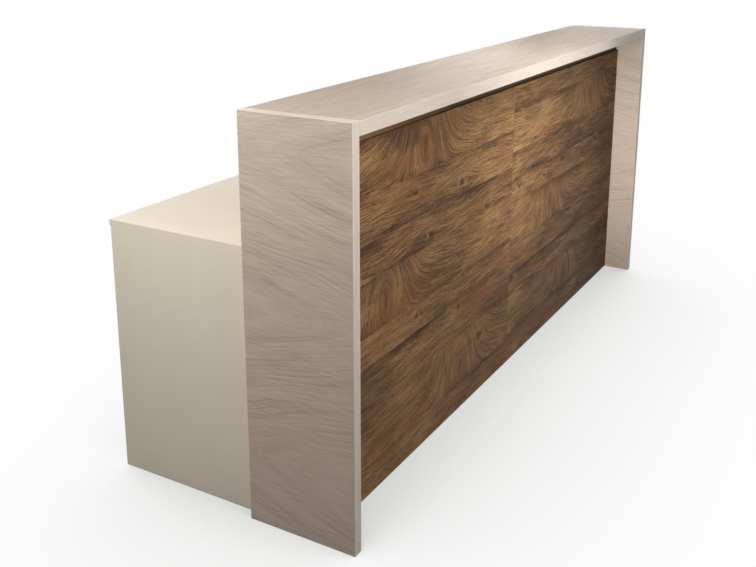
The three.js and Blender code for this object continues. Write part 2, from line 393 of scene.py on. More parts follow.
@built_once
def ring_knot_group(name):
    """Growth rings round a large knot in one plank.

    Shift bends the plank's grain lines: upright arcs at the knot, which lie down along the plank
    further off. Heart is the crack in the knot, and Warmth the redder wood round it.
    """
    sizes = {"Across": 0.0, "Up": 0.0, "Level": 0.0, "Knot X": 0.0, "Knot Z": 0.0,
             "Low": 0.0, "High": 0.0, "Reach": RING_REACH}
    wired, given, result = shader_group(name, sizes, "Shift", "Heart", "Warmth")
    across = wired.minus(given["Across"], given["Knot X"])
    up = wired.minus(given["Up"], given["Knot Z"])
    over_low = wired.math("GREATER_THAN", given["Up"], given["Low"])
    under_high = wired.math("LESS_THAN", given["Up"], given["High"])
    in_plank = wired.times(over_low, under_high)
    distance = wired.reach(across, wired.times(up, 0.6))
    share = wired.divide(distance, given["Reach"])
    arcs = wired.times(given["Reach"], wired.math("TANH", share))
    lying = wired.math("EXPONENT", wired.times(wired.times(share, share), -1.0))
    level = wired.minus(given["Level"], given["Knot Z"])
    shift = wired.minus(arcs, wired.times(level, lying))
    wired.plug(result["Shift"], wired.times(shift, in_plank))
    crack = wired.reach(across, wired.times(up, 0.14))
    wired.plug(result["Heart"], wired.fade(crack, 0.0065, 0.001))
    wired.plug(result["Warmth"], wired.times(wired.fade(distance, 0.07, 0.01), in_plank))
    return wired.tree


@built_once
def small_knot_group(name):
    """A small dark knot: Push bends the grain lines round it, Trail is the dark streak along them."""
    sizes = {"Across": 0.0, "Up": 0.0, "Knot X": 0.0, "Knot Z": 0.0, "Size": 0.012}
    wired, given, result = shader_group(name, sizes, "Push", "Core", "Halo", "Trail")
    across = wired.divide(wired.minus(given["Across"], given["Knot X"]), given["Size"])
    rise = wired.minus(given["Up"], given["Knot Z"])
    up = wired.divide(rise, given["Size"])
    distance = wired.reach(wired.times(across, 0.6), up)
    around = wired.fade(wired.reach(wired.times(across, 0.12), wired.times(up, 0.3)), 1.0, 0.0)
    wired.plug(result["Push"], wired.times(wired.times(rise, around), -0.9))
    wired.plug(result["Core"], wired.fade(distance, 1.0, 0.3))
    halo = wired.times(wired.fade(distance, 2.6, 1.3), wired.fade(distance, 0.7, 1.3))
    wired.plug(result["Halo"], halo)
    beside = wired.fade(wired.math("ABSOLUTE", up), 0.9, 0.0)
    past = wired.fade(wired.math("ABSOLUTE", across), 13.0, 0.5)
    wired.plug(result["Trail"], wired.times(beside, past))
    return wired.tree


class Finish:
    """A new material, with its shader ready for a finish to be wired into it."""

    def __init__(self, name):
        self.material = bpy.data.materials.new(name)
        self.material.use_nodes = True
        self.tree = Tree(self.material.node_tree)
        self.shader = self.material.node_tree.nodes["Principled BSDF"]
        self.place = self.tree.node("ShaderNodeTexCoord").outputs["Object"]

    def turned(self, along, across):
        """The place with the grain's axis first, the axis across it second and the depth last."""
        axes = self.tree.separate(self.place)
        return self.tree.combine(axes[along], axes[across], axes[3 - along - across])

    def fibre(self, place, band, streak, fine, seed=0.0, length=1.0):
        """Wood grain along the place's first axis, its bands, streaks and fibres as wide as given."""
        group = fibre_group("wood_fibre")
        inputs = {"Vector": place, "Seed": seed, "Length": length, "Band": band, "Streak": streak,
                  "Fibre": fine}
        return self.tree.use(group, inputs)

    def set(self, **values):
        """Sets the shader's sockets, given by name with _ for each space."""
        for name, value in values.items():
            self.tree.plug(self.shader.inputs[name.replace("_", " ")], value)

    def bump(self, height, distance, strength):
        inputs = {"Height": height, "Distance": distance, "Strength": strength}
        self.set(Normal=self.tree.node("ShaderNodeBump", inputs).outputs["Normal"])


def colour_of(name):
    """One of the desk's colours, as three linear values."""
    return tuple(getattr(bpy.context.scene.desk_colours, name))


def dimmed(shade, share):
    """A colour made darker, or paler with a share above 1."""
    return tuple(part * share for part in shade)


# Leaves of the oak decor: their width, where one leaf's middle lies, how blunt its arches are, and
# how fast they open on the end panels and on the shelf
OAK_LEAF = 0.40
OAK_LEAF_MIDDLE = 0.196
OAK_ARCH_TIP = 0.05
OAK_PANEL_SLOPE = 0.21
OAK_SHELF_SLOPE = 0.06


@built_once
def oak(name, along, across, arch_start, arch_slope):
    """Pale oak decor: soft arches along the grain that turn round leaf by leaf, and fine fibres."""
    made = Finish(name)
    tree = made.tree
    place = made.turned(along, across)
    u, v, _ = tree.separate(place)
    drift = tree.noise(tree.scaled(place, (10 * arch_slope, 6.0, 0.0)), 1.0, 1.0)
    leaf = tree.math("FLOOR", tree.line(v, 1 / OAK_LEAF, 0.5 - OAK_LEAF_MIDDLE / OAK_LEAF))
    middle = tree.line(leaf, OAK_LEAF, OAK_LEAF_MIDDLE)
    aside = tree.swayed(tree.minus(v, middle), drift, 0.08)
    way = tree.line(tree.math("PINGPONG", leaf, 1.0), -2 * arch_slope, arch_slope)
    run = tree.times(tree.minus(u, arch_start), way)
    arch = tree.add(tree.reach(aside, OAK_ARCH_TIP), run)
    grain = made.fibre(tree.combine(u, arch, 0.0), 0.026, 0.0038, 0.0016, tree.times(leaf, 0.31), 2.6)
    straight = made.fibre(place, 0.03, 0.005, 0.0018, 0.0, 0.8)
    clear = tree.fade(tree.math("ABSOLUTE", aside), 0.01, 0.15, 0.25, 1.0)
    tone = tree.add(
        tree.spread(grain["Band"], 0.06, 0.38),
        tree.times(clear, tree.fade(grain["Streak"], 0.47, 0.36, 0.0, 0.36)),
        tree.times(clear, tree.fade(grain["Streak"], 0.55, 0.68, 0.0, -0.25)),
        tree.spread(straight["Streak"], 0.0, 0.24),
        tree.spread(straight["Fibre"], -0.06, 0.32),
    )
    made.set(
        Base_Color=tree.mix(tone, colour_of("oak_light"), colour_of("oak_dark")),
        Roughness=tree.spread(straight["Streak"], 0.42, 0.54),
        Specular_IOR_Level=0.45,
    )
    made.bump(tree.blend(0.5, straight["Fibre"], grain["Streak"]), 0.00012, 0.5)
    return made.material


@built_once
def edge_band(name, along, across, light, dark):
    """A thin glued edge strip: the board's tone with fine lines along it."""
    made = Finish(name)
    tree = made.tree
    fibre = made.fibre(made.turned(along, across), 0.02, 0.003, 0.0009)
    tone = tree.add(tree.spread(fibre["Streak"], 0.0, 0.28), tree.spread(fibre["Fibre"], 0.0, 0.18))
    made.set(
        Base_Color=tree.mix(tone, light, dark),
        Roughness=tree.spread(fibre["Streak"], 0.34, 0.44),
    )
    made.bump(fibre["Fibre"], 0.00008, 0.4)
    return made.material


# Figure of each front board: heights where its planks meet, ring knots as (x, z, plank's lower
# edge, plank's upper edge), small knots as (x, z, radius), and patches of paler or, below zero,
# darker colour as (x, z, half length, half height, strength). Most are paler and darker wood; the
# right board's last two are painted shade that darkens its far end.
FIGURES = {
    "fascia_left": {
        "seed": 0.37,
        "planks": (0.092, 0.258, 0.379, 0.467, 0.621, 0.721, 0.846),
        "ring_knots": (
            (-0.645, 0.917, 0.846, 1.000),
            (-0.866, 0.538, 0.467, 0.621),
            (-0.387, 0.158, 0.092, 0.258),
        ),
        "small_knots": (
            (-0.700, 0.800, 0.010), (-0.400, 0.760, 0.016), (-0.600, 0.646, 0.015),
            (-0.200, 0.638, 0.012), (-0.690, 0.430, 0.012), (-0.410, 0.360, 0.012),
            (-0.250, 0.200, 0.016),
        ),
        "patches": (
            (-0.200, 0.900, 0.34, 0.120, 0.16), (-0.560, 0.665, 0.40, 0.045, 0.12),
            (-1.000, 0.700, 0.34, 0.050, -0.12),
        ),
    },
    "fascia_right": {
        "seed": 0.71,
        "planks": (0.100, 0.250, 0.333, 0.433, 0.583, 0.671, 0.767, 0.921),
        "ring_knots": (
            (0.813, 0.850, 0.767, 0.921),
            (0.383, 0.508, 0.433, 0.583),
            (0.580, 0.158, 0.100, 0.250),
        ),
        "small_knots": (
            (0.070, 0.640, 0.014), (0.310, 0.625, 0.012), (0.190, 0.680, 0.008),
            (0.505, 0.650, 0.014), (0.790, 0.667, 0.010), (0.910, 0.650, 0.014),
            (0.605, 0.417, 0.011), (0.655, 0.375, 0.008), (0.020, 0.310, 0.016),
            (0.800, 0.225, 0.012), (0.970, 0.410, 0.011),
        ),
        "patches": (
            (0.140, 0.860, 0.40, 0.160, 0.14), (0.450, 0.960, 0.40, 0.050, 0.08),
            (0.150, 0.305, 0.32, 0.045, -0.14), (0.820, 0.720, 0.34, 0.050, -0.10),
            # Painted shade: these two darken the board's far end, where less light falls
            (1.120, 0.500, 0.42, 0.800, -0.23), (1.120, 0.100, 0.50, 0.200, -0.14),
        ),
    },
}

# How far a ring knot bends the grain, how far the darker wood reaches from the height where two
# planks meet, and the step from one plank's seed to the next
RING_REACH = 0.19
PLANK_SHADE = 0.022
SEED_STEP = 0.618

# How far the painted light reaches from the rail's left end: a paler colour there stands in for light
# falling into the gap at the near end
RAIL_PAINTED_LIGHT_LENGTH = 0.8


def plank_seed(tree, height, figure):
    """A value of its own for each plank, from the board's height."""
    stops = []
    for index, edge in enumerate((0.0, *figure["planks"])):
        stops.append((edge, math.modf((index + 1) * SEED_STEP + figure["seed"])[0]))
    return tree.graph(height, stops, "CONSTANT")


def plank_edge(tree, height, figure):
    """How near the board's height is to where two planks meet, from 0 to 1."""
    stops = []
    for edge in figure["planks"]:
        stops += [(edge - PLANK_SHADE, 0.0), (edge, 1.0), (edge + PLANK_SHADE, 0.0)]
    return tree.graph(height, stops)


def all_knots(tree, group, summed, places):
    """A knot group's outputs over all its places: one of them added up, the highest of the others."""
    joined = {}
    for inputs in places:
        for socket in list(tree.use(group, inputs)):
            join = tree.add if socket.name == summed else tree.most
            joined[socket.name] = join(joined.get(socket.name, 0.0), socket)
    return joined


class WalnutBoard(Finish):
    """The decor of one front board: where its planks and knots lie, its tone and its colours."""

    def __init__(self, name, figure):
        super().__init__(name)
        self.figure = figure
        tree = self.tree
        self.x, _, self.z = tree.separate(self.place)
        self.seed = plank_seed(tree, self.z, figure)
        offset = tree.times(self.seed, 29.0)
        self.plank_place = tree.combine(tree.add(self.x, offset), self.z, offset)
        rough = tree.node("ShaderNodeTexNoise", {"Vector": self.place, "Scale": 38.0, "Detail": 3.0})
        ragged = tree.separate(rough.outputs["Color"])
        self.ragged_x = tree.swayed(self.x, ragged[0], 0.05)
        self.ragged_z = tree.swayed(self.z, ragged[1], 0.024)
        self.bend_grain()

    def drift(self, rates, detail):
        """Broad noise that is another in each plank."""
        return self.tree.noise(self.tree.scaled(self.plank_place, rates), 1.0, detail)

    def bend_grain(self):
        """Lets the grain lines wander up and down along the plank, and bend round the knots."""
        tree = self.tree
        level = tree.swayed(self.z, self.drift((2.4, 7.0, 1.0), 2.0), 0.06)
        self.knots = all_knots(tree, small_knot_group("small_knot"), "Push", [
            {"Across": self.ragged_x, "Up": self.ragged_z, "Knot X": x, "Knot Z": z, "Size": size}
            for x, z, size in self.figure["small_knots"]
        ])
        level = tree.add(level, self.knots["Push"])
        spot = {"Across": tree.blend(0.3, self.x, self.ragged_x), "Up": self.z, "Level": level}
        self.rings = all_knots(tree, ring_knot_group("ring_knot"), "Shift", [
            {**spot, "Knot X": x, "Knot Z": z, "Low": low, "High": high}
            for x, z, low, high in self.figure["ring_knots"]
        ])
        lines = tree.add(level, self.rings["Shift"])
        lines = tree.swayed(lines, self.drift((9.0, 18.0, 1.0), 3.0), 0.006)
        flow = tree.combine(tree.add(self.x, self.z), lines, 0.0)
        self.grain = self.fibre(flow, 0.018, 0.0034, 0.0016, self.seed, 1.2)
        self.short = self.fibre(flow, 0.012, 0.0044, 0.0040, self.seed, 0.12)

    def tone(self):
        """Bands and streaks, a drift of light and dark along each plank, and fibres over all."""
        tree = self.tree
        drift = self.drift((2.6, 10.0, 1.0), 1.5)
        patchy_wood_and_shade = tree.spread(drift, 0.14, 0.46)
        # Patches of paler and darker wood, and on the right board painted shade at its far end
        for x, z, long, high, strength in self.figure["patches"]:
            away_x = tree.times(tree.minus(self.ragged_x, x), 1 / long)
            away_z = tree.times(tree.minus(self.ragged_z, z), 1 / high)
            patchy_wood_and_shade = tree.add(patchy_wood_and_shade, tree.fade(tree.reach(away_x, away_z), 1.2, 0.2, 0.0, strength))
        edge = plank_edge(tree, self.ragged_z, self.figure)
        return tree.add(
            tree.spread(self.grain["Band"], -0.02, 0.28),
            tree.fade(self.grain["Streak"], 0.40, 0.60, 0.0, 0.34),
            tree.spread(self.grain["Fibre"], -0.15, 0.15),
            tree.spread(self.short["Fibre"], -0.10, 0.10),
            patchy_wood_and_shade,
            tree.line(self.seed, 0.12, -0.06),
            tree.times(edge, tree.fade(drift, 0.6, 0.35, -0.04, -0.28)),
        )

    def wood(self):
        """The tone's colour, with redder and greener drifts, and the wood round the knots."""
        tree = self.tree
        light, red = colour_of("walnut_light"), colour_of("walnut_red")
        stops = ((0.08, colour_of("walnut_dark")), (0.48, colour_of("walnut_mid")), (0.92, light))
        wood = tree.ramp(self.tone(), stops)
        hue = self.drift((3.4, 11.0, 3.0), 2.0)
        wood = tree.mix(tree.fade(hue, 0.49, 0.68, 0.0, 0.5), wood, red)
        wood = tree.mix(tree.fade(hue, 0.46, 0.3, 0.0, 0.4), wood, colour_of("walnut_olive"))
        wood = tree.mix(tree.times(self.rings["Warmth"], 0.4), wood, red)
        return tree.mix(tree.times(self.knots["Halo"], 0.14), wood, light)

    def shadow(self):
        """Where the wood is darkest: knots and their trails, veins and pores."""
        tree = self.tree
        streak = self.grain["Streak"]
        return tree.most(
            tree.times(self.knots["Trail"], tree.fade(streak, 0.6, 0.4, 0.1, 0.6)),
            tree.times(self.knots["Core"], 0.75),
            tree.times(self.rings["Heart"], 0.75),
            tree.fade(streak, 0.42, 0.34, 0.0, 0.4),
            tree.fade(self.short["Fibre"], 0.42, 0.32, 0.0, 0.6),
        )


@built_once
def walnut(name, board):
    """Rustic walnut decor in level planks, with ring figure, small dark knots and wavy streaks."""
    made = WalnutBoard(name, FIGURES[board])
    tree, grain = made.tree, made.grain
    made.set(
        Base_Color=tree.mix(made.shadow(), made.wood(), colour_of("walnut_dark")),
        Roughness=tree.spread(grain["Streak"], 0.48, 0.62),
        Specular_IOR_Level=0.1,
    )
    made.bump(tree.blend(0.5, grain["Fibre"], grain["Streak"]), 0.0002, 0.6)
    return made.material


@built_once
def coated(name, shade, roughness, grain, reflection=0.5):
    """A smooth coat or moulding with a slight orange peel and a drift of gloss and tone."""
    made = Finish(name)
    tree = made.tree
    peel = tree.use(unevenness_group("fine_unevenness"), {"Vector": made.place, "Grain": grain})
    made.set(
        Base_Color=tree.mix(tree.spread(peel["Tone"], 0.0, 1.0), shade, dimmed(shade, 0.95)),
        Roughness=tree.spread(peel["Gloss"], roughness - 0.05, roughness + 0.05),
        Specular_IOR_Level=reflection,
    )
    made.bump(peel["Height"], 0.00006, 0.35)
    return made.material


@built_once
def straight_wood(name, light, dark, end=None):
    """Plain wood with its grain along X.

    end is a colour of painted light that it turns to along X, with the places where that begins and where it
    is done.
    """
    made = Finish(name)
    tree = made.tree
    place = made.turned(0, 2)
    fibre = made.fibre(place, 0.012, 0.003, 0.0008)
    tone = tree.add(tree.spread(fibre["Band"], 0.0, 0.5), tree.spread(fibre["Streak"], 0.0, 0.5))
    wood = tree.mix(tone, light, dark)
    if end:
        painted_light_shade, begun, done = end
        wood = tree.mix(tree.fade(tree.separate(place)[0], begun, done), wood, painted_light_shade)
    made.set(
        Base_Color=wood,
        Roughness=tree.spread(fibre["Streak"], 0.5, 0.66),
        Specular_IOR_Level=0.15,
    )
    made.bump(fibre["Fibre"], 0.0001, 0.5)
    return made.material


@built_once
def plated(name, shade):
    """Bright zinc plate with faint drawing lines and duller spots."""
    made = Finish(name)
    tree = made.tree
    lines = tree.noise(tree.scaled(made.place, (900.0, 900.0, 60.0)), 1.0, 2.0)
    spots = tree.noise(made.place, 130.0, 4.0, 0.6)
    made.set(
        Base_Color=tree.mix(tree.spread(spots, 0.0, 1.0), shade, dimmed(shade, 0.72)),
        Roughness=tree.add(tree.spread(lines, 0.22, 0.36), tree.spread(spots, 0.0, 0.12)),
        Metallic=1.0,
    )
    made.bump(lines, 0.00003, 0.4)
    return made.material


def cream_finish():
    return coated("cream_coat", colour_of("cream"), 0.62, 0.0012, 0.2)


def zinc_finish():
    return plated("zinc_plate", colour_of("zinc"))


# Mesh building


def nodes_named(start, *leaving_out):
    """Names of the frame's nodes that begin with a word, in order."""
    found = (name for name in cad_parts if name.startswith(start))
    return sorted(name for name in found if not name.startswith(leaving_out))


def new_piece(name, mesh, body, slot, *nodes):
    """Puts a finished mesh in the scene: it rides on a body and stands for its nodes."""
    piece = linked_object(name, mesh)
    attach(piece, body)
    if nodes:
        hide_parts(*nodes)


def closed_mesh(name, built, finishes, sharp=None):
    """Turns a bmesh into a mesh whose faces point outwards, smooth below a given angle in degrees."""
    bmesh.ops.remove_doubles(built, verts=built.verts, dist=MERGE_DISTANCE)
    bmesh.ops.recalc_face_normals(built, faces=built.faces)
    if sharp:
        for face in built.faces:
            face.smooth = True
    mesh = bpy.data.meshes.new(name)
    built.to_mesh(mesh)
    built.free()
    for finish in finishes:
        mesh.materials.append(finish)
    if sharp:
        mesh.set_sharp_from_angle(angle=math.radians(sharp))
    return mesh


def evaluated_mesh(made, name):
    """The object with its modifiers done, as a plain mesh. The object itself is deleted."""
    graph = bpy.context.evaluated_depsgraph_get()
    mesh = bpy.data.meshes.new_from_object(made.evaluated_get(graph))
    mesh.name = name
    bpy.data.objects.remove(made)
    return mesh


def linked_object(name, mesh):
    made = bpy.data.objects.new(name, mesh)
    bpy.context.scene.collection.objects.link(made)
    return made


def drilled(mesh, drills):
    """The mesh with each drill's solid cut away."""
    blank = linked_object(mesh.name, mesh)
    tools = [linked_object("drill", drill) for drill in drills]
    for tool in tools:
        cut = blank.modifiers.new("drill", "BOOLEAN")
        cut.object = tool
        cut.solver = "EXACT"
    result = evaluated_mesh(blank, mesh.name)
    for tool in tools:
        bpy.data.objects.remove(tool)
    return result


def turned_mesh(name, profile, steps, placed, finish, radius_at=None):
    """A round piece on the Z axis from (radius, height) points that run up its outside, then placed.

    radius_at changes a point's radius by its index and its angle. A profile that doesn't start on
    the axis closes on itself.
    """
    built = bmesh.new()
    rings = []
    for index, (radius, height) in enumerate(profile):
        ring = []
        for step in range(steps):
            angle = 2 * math.pi * step / steps
            out = radius_at(index, radius, angle) if radius_at else radius
            ring.append(built.verts.new((out * math.cos(angle), out * math.sin(angle), height)))
        rings.append(ring)
    if profile[0][0] > 0:
        rings.append(rings[0])
    for lower, upper in zip(rings, rings[1:]):
        for step in range(steps):
            after = (step + 1) % steps
            built.faces.new((lower[step], lower[after], upper[after], upper[step]))
    bmesh.ops.remove_doubles(built, verts=built.verts, dist=MERGE_DISTANCE)
    bmesh.ops.dissolve_degenerate(built, edges=built.edges, dist=1e-8)
    mesh = closed_mesh(name, built, (finish,), SHARP_ANGLE)
    mesh.transform(placed)
    return mesh


def quarter_round(centre, radius, start, end):
    """Points of an arc in a half section, from the angle start to end, in degrees."""
    points = []
    for step in range(BEND_STEPS + 1):
        angle = math.radians(start + (end - start) * step / BEND_STEPS)
        points.append((centre[0] + radius * math.cos(angle), centre[1] + radius * math.sin(angle)))
    return points


def folded_sheet(path, thickness, bend):
    """Closed (y, z) section of a sheet that is folded squarely along the path of its outer faces."""
    corners = [Vector(point) for point in path]
    outer, inner = [], []
    for before, corner, after in zip(corners, corners[1:], corners[2:]):
        along = (corner - before).normalized()
        across = (after - corner).normalized()
        centre = corner + (across - along) * (bend + thickness)
        for step in range(BEND_STEPS + 1):
            angle = math.pi / 2 * step / BEND_STEPS
            spoke = along * math.sin(angle) - across * math.cos(angle)
            outer.append(centre + spoke * (bend + thickness))
            inner.append(centre + spoke * bend)
    inward = (corners[2] - corners[1]).normalized() * thickness
    last_inward = (corners[-3] - corners[-2]).normalized() * thickness
    ends = [corners[-1], corners[-1] + last_inward]
    return [corners[0], *outer, *ends, *reversed(inner), corners[0] + inward]


def drawn_along_x(section, low_x, high_x):
    """A bmesh of a section of (y, z) points drawn out along X."""
    built = bmesh.new()
    ends = [[built.verts.new((x, y, z)) for y, z in section] for x in (low_x, high_x)]
    for index in range(len(section)):
        near = (ends[0][index - 1], ends[0][index])
        far = (ends[1][index], ends[1][index - 1])
        built.faces.new((*near, *far))
    for ring in ends:
        built.faces.new(ring)
    return built


def grown_mesh(name, mesh, tree, values):
    """The mesh after a Geometry Nodes tree with these inputs."""
    made = linked_object(name, mesh)
    modifier = made.modifiers.new("nodes", "NODES")
    modifier.node_group = tree
    for socket in tree.interface.items_tree:
        if socket.in_out == "INPUT" and socket.name in values:
            modifier[socket.identifier] = values[socket.name]
    grown = evaluated_mesh(made, name)
    grown.set_sharp_from_angle(angle=math.radians(SHARP_ANGLE))
    return grown


def finish_tree(wired, result, geometry, finish):
    """Ends a tree: real geometry with its material."""
    real = wired.node("GeometryNodeRealizeInstances", {"Geometry": geometry}).outputs[0]
    coat = wired.node("GeometryNodeSetMaterial", {"Geometry": real, "Material": finish}).outputs[0]
    wired.plug(result["Geometry"], coat)
    return wired.tree


def screw_tree():
    """Cross-slotted screw heads on points, each turned to the point's facing."""
    sizes = {"Radius": 0.004, "Rise": 0.002, "Finish": "NodeSocketMaterial"}
    wired, given, result = geometry_group("screw_heads", sizes)
    radius, rise = given["Radius"], given["Rise"]
    ball = wired.node("GeometryNodeMeshUVSphere", {"Segments": 20, "Rings": 10, "Radius": radius})
    flat = wired.combine(1.0, 1.0, wired.math("DIVIDE", rise, radius))
    head = wired.node("GeometryNodeTransform", {"Geometry": ball.outputs["Mesh"], "Scale": flat})
    recess = wired.cutter(head.outputs[0])
    long, short = wired.times(radius, 1.1), wired.times(radius, 0.22)
    for size in (wired.combine(long, short, rise), wired.combine(short, long, rise)):
        bar = wired.node("GeometryNodeMeshCube", {"Size": size}).outputs["Mesh"]
        up = {"Geometry": bar, "Translation": wired.combine(0.0, 0.0, rise)}
        wired.plug(recess.inputs["Mesh 2"], wired.node("GeometryNodeTransform", up).outputs[0])
    facing = wired.node("GeometryNodeInputNamedAttribute", {"Name": "facing"}, data_type="FLOAT_VECTOR")
    turn = wired.node("FunctionNodeAlignRotationToVector", {"Vector": facing.outputs[0]}, axis="Z")
    points = {"Points": given["Geometry"], "Instance": recess.outputs["Mesh"], "Rotation": turn.outputs[0]}
    placed = wired.node("GeometryNodeInstanceOnPoints", points).outputs[0]
    return finish_tree(wired, result, placed, given["Finish"])


def slot_tree():
    """A row of round-ended slots cut through a sheet."""
    sizes = {
        "Start": (0.0, 0.0, 0.0), "Run": 1.0, "Pitch": 0.06, "Slot Length": 0.034,
        "Slot Width": 0.008, "Depth": 0.01, "Finish": "NodeSocketMaterial",
    }
    wired, given, result = geometry_group("slotted_sheet", sizes)
    rod = wired.node("GeometryNodeMeshCylinder", {
        "Vertices": 16, "Radius": wired.times(given["Slot Width"], 0.5), "Depth": given["Depth"],
    })
    span = wired.math("SUBTRACT", given["Slot Length"], given["Slot Width"])
    ends = wired.node("GeometryNodeMeshLine", {
        "Count": 2, "Start Location": wired.combine(wired.times(span, -0.5), 0.0, 0.0),
        "Offset": wired.combine(span, 0.0, 0.0),
    })
    pair = wired.node("GeometryNodeInstanceOnPoints", {
        "Points": ends.outputs[0], "Instance": rod.outputs["Mesh"],
    })
    real = wired.node("GeometryNodeRealizeInstances", {"Geometry": pair.outputs[0]})
    punch = wired.node("GeometryNodeConvexHull", {"Geometry": real.outputs[0]})
    count = wired.add(wired.math("FLOOR", wired.math("DIVIDE", given["Run"], given["Pitch"])), 1.0)
    row = wired.node("GeometryNodeMeshLine", {
        "Count": count, "Start Location": given["Start"], "Offset": wired.combine(given["Pitch"], 0.0, 0.0),
    })
    punches = wired.node("GeometryNodeInstanceOnPoints", {
        "Points": row.outputs[0], "Instance": punch.outputs[0],
    })
    cut = wired.cutter(given["Geometry"])
    wired.plug(cut.inputs["Mesh 2"], punches.outputs[0])
    return finish_tree(wired, result, cut.outputs["Mesh"], given["Finish"])


def middle_of(node):
    low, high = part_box(node)
    return (low + high) / 2


# Boards


def foot_drills(low, high, finish):
    """Drills for the pockets of the levelling feet that stand under a board."""
    drills = []
    for foot in nodes_named("foot_", "foot_insert_"):
        place = middle_of(foot)
        if not (low.x < place.x < high.x and low.y < place.y < high.y):
            continue
        foot_low, foot_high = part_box(foot)
        insert_low, insert_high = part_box(foot.replace("foot_", "foot_insert_"))
        pocket = (foot_high.x - foot_low.x) / 2 + POCKET_CLEARANCE
        insert = (insert_high.x - insert_low.x) / 2
        below = low.z - POCKET_CLEARANCE
        profile = [(0, below), (pocket, below), (pocket, insert_low.z), (insert, insert_low.z),
                   (insert, insert_high.z), (0, insert_high.z)]
        placed = Matrix.Translation((place.x, place.y, 0))
        drills.append(turned_mesh("drill", profile, ROUND_STEPS, placed, finish))
    return drills


def grommet_drills(low, high, finish):
    """Drills for the worktop's two cable holes."""
    drills = []
    for node in nodes_named("grommet_ring_"):
        ring_low, ring_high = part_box(node)
        radius = (ring_high.x - ring_low.x) / 2 - RING_FLANGE
        below, above = low.z - RING_FLANGE, high.z + RING_FLANGE
        profile = [(0, below), (radius, below), (radius, above), (0, above)]
        place = middle_of(node)
        placed = Matrix.Translation((place.x, place.y, 0))
        drills.append(turned_mesh("drill", profile, GROMMET_STEPS, placed, finish))
    return drills


def add_board(node, slot, face_finish, edge_finish):
    """A board with rounded edges and its holes: two wide faces with one finish, edges with another."""
    radius = bpy.context.scene.desk_sizes.edge_radius
    low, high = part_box(node)
    size = high - low
    thin = min(range(3), key=lambda axis: size[axis])
    built = bmesh.new()
    bmesh.ops.create_cube(built, size=1.0)
    bmesh.ops.scale(built, vec=size, verts=built.verts)
    bmesh.ops.translate(built, vec=(low + high) / 2, verts=built.verts)
    bmesh.ops.bevel(
        built, geom=built.edges, offset=radius, segments=EDGE_SEGMENTS, profile=0.5, affect="EDGES"
    )
    widest = max(face.calc_area() for face in built.faces)
    for face in built.faces:
        face.normal_update()
        wide = abs(face.normal[thin]) > SQUARE_ON and face.calc_area() > widest / 2
        face.material_index = 0 if wide else 1
        face.smooth = max(abs(part) for part in face.normal) < SQUARE_ON
    mesh = closed_mesh(node, built, (face_finish, edge_finish))
    drills = foot_drills(low, high, face_finish) if low.z < radius else []
    if node == "worktop":
        drills = grommet_drills(low, high, face_finish)
    if drills:
        mesh = drilled(mesh, drills)
    new_piece(f"{node}_board", mesh, ROOT, slot, node)


class DESK_OT_counter_frame(bpy.types.Operator):
    """Make the pale oak end panels and the counter shelf between them"""

    bl_idname = "desk.counter_frame"
    bl_label = "Counter frame"

    def execute(self, context):
        shades = context.scene.desk_colours
        band, dark = tuple(shades.oak_band), tuple(shades.oak_dark)
        upright = edge_band("oak_band_upright", 2, 1, band, dark)
        for side in SIDES:
            panel = f"{side}_end_panel"
            low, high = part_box(panel)
            finish = oak(f"oak_{panel}", 1, 2, (low.y * 3 + high.y) / 4, OAK_PANEL_SLOPE)
            add_board(panel, "pale_oak", finish, upright)
        level = edge_band("oak_band_level", 0, 2, band, dark)
        shelf = oak("oak_counter_shelf", 0, 1, 0.0, OAK_SHELF_SLOPE)
        add_board("counter_shelf", "pale_oak", shelf, level)
        return {"FINISHED"}


class DESK_OT_front(bpy.types.Operator):
    """Make the two walnut front boards and the dark rail in the gap above them"""

    bl_idname = "desk.front"
    bl_label = "Front boards and rail"

    def execute(self, context):
        shades = context.scene.desk_colours
        mid, dark = tuple(shades.walnut_mid), tuple(shades.walnut_dark)
        band = edge_band("walnut_band", 0, 2, mid, dark)
        for board in FIGURES:
            add_board(board, "walnut_decor", walnut(f"walnut_{board}", board), band)
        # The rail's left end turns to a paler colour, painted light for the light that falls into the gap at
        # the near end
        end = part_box("shadow_rail")[0].x
        shade, paler = tuple(shades.rail), (tuple(shades.rail_end), end + RAIL_PAINTED_LIGHT_LENGTH, end)
        strip = straight_wood("dark_rail", dimmed(shade, 1.5), shade, paler)
        add_board("shadow_rail", "dark_brown", strip, strip)
        return {"FINISHED"}


class DESK_OT_work_desk(bpy.types.Operator):
    """Make the cream spine, worktop, side panels and centre panel"""

    bl_idname = "desk.work_desk"
    bl_label = "Work desk"

    def execute(self, context):
        cream = cream_finish()
        for node in ("spine_panel", "worktop", "left_side_panel", "right_side_panel", "centre_panel"):
            add_board(node, "cream_board", cream, cream)
        return {"FINISHED"}


# Fittings


